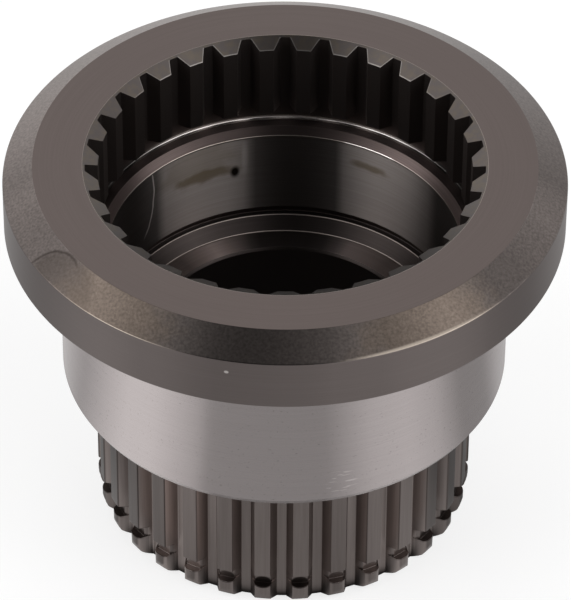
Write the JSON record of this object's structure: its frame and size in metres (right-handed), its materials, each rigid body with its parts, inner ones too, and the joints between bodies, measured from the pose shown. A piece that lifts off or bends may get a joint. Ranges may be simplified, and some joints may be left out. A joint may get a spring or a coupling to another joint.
{
  "type": "splined coupling hub",
  "caption": "Flanged steel coupling hub with an internal spline in its head, a ground neck and an external splined end with a retaining ring groove.",
  "frame": {"origin": "centre of the lower end face, on the hub's axis", "axes": "+Z along the hub's axis, from the splined end up to the flanged head; an inner tooth gap lies on +Y and an outer tooth gap on -Y"},
  "size_m": [0.118, 0.118, 0.09],
  "materials": {
    "hub_steel": "turned and ground hardened steel under a film of oil, darker where it was left as hardened"
  },
  "bodies": {
    "root": {"coupling_hub": "hub_steel"}
  },
  "joints": []
}
